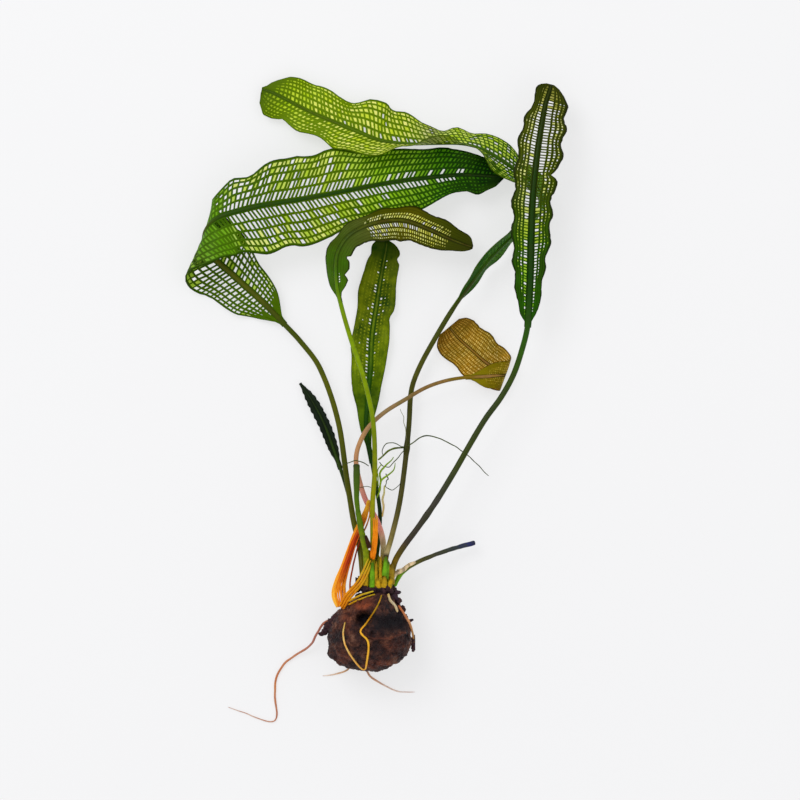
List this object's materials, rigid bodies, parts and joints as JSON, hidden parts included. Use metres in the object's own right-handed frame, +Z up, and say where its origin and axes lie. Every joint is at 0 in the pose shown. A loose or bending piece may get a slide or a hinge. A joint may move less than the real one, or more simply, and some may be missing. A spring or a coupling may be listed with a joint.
{
  "type": "madagascar lace plant",
  "caption": "Aquarium plant lying on its side: a dark tuber with roots, and long stalks with lattice leaves that curl, fold and arch.",
  "frame": {"origin": "middle of the flat patch under the tuber, on the surface that the plant lies on", "axes": "+Y from the tuber along the stalks to the leaves, +X to the right seen from above with the leaves pointing away, +Z up"},
  "size_m": [0.1418, 0.2417, 0.0293],
  "materials": {
    "tuber": "rough, flaky, almost black skin with reddish patches",
    "bright_leaf": "wet satin, translucent yellow-green",
    "dark_leaf": "wet satin, dark green",
    "arched_leaf": "wet satin, green turning brown-gold",
    "brown_leaf": "satin, golden brown",
    "small_leaf": "satin, nearly black green",
    "stalk": "satin green with a dry cut end",
    "orange_root": "satin orange",
    "pale_root": "satin, pale tan to cream",
    "thread": "matt dark green",
    "sheath": "matt brown, fibrous"
  },
  "bodies": {
    "root": {"tuber": "tuber", "leaf_folded": "bright_leaf", "leaf_back": "bright_leaf", "leaf_tall": "dark_leaf", "leaf_arched": "arched_leaf", "leaf_dark": "dark_leaf", "leaf_yellow": "brown_leaf", "leaf_small": "small_leaf", "cut_stalk_left": "stalk", "cut_stalk_right": "stalk", "root_bundle_1": "orange_root", "root_bundle_2": "orange_root", "root_bundle_3": "orange_root", "root_bundle_4": "orange_root", "root_bundle_5": "orange_root", "root_back": "orange_root", "root_strip": "orange_root", "root_over": "orange_root", "root_zigzag": "orange_root", "root_long": "pale_root", "root_low_right": "pale_root", "root_low_left": "pale_root", "root_white": "pale_root", "root_side": "pale_root", "root_cream": "pale_root", "thread_right": "thread", "thread_thick": "thread", "thread_tuft": "thread", "sheath_left": "sheath", "sheath_right": "sheath"}
  },
  "joints": []
}
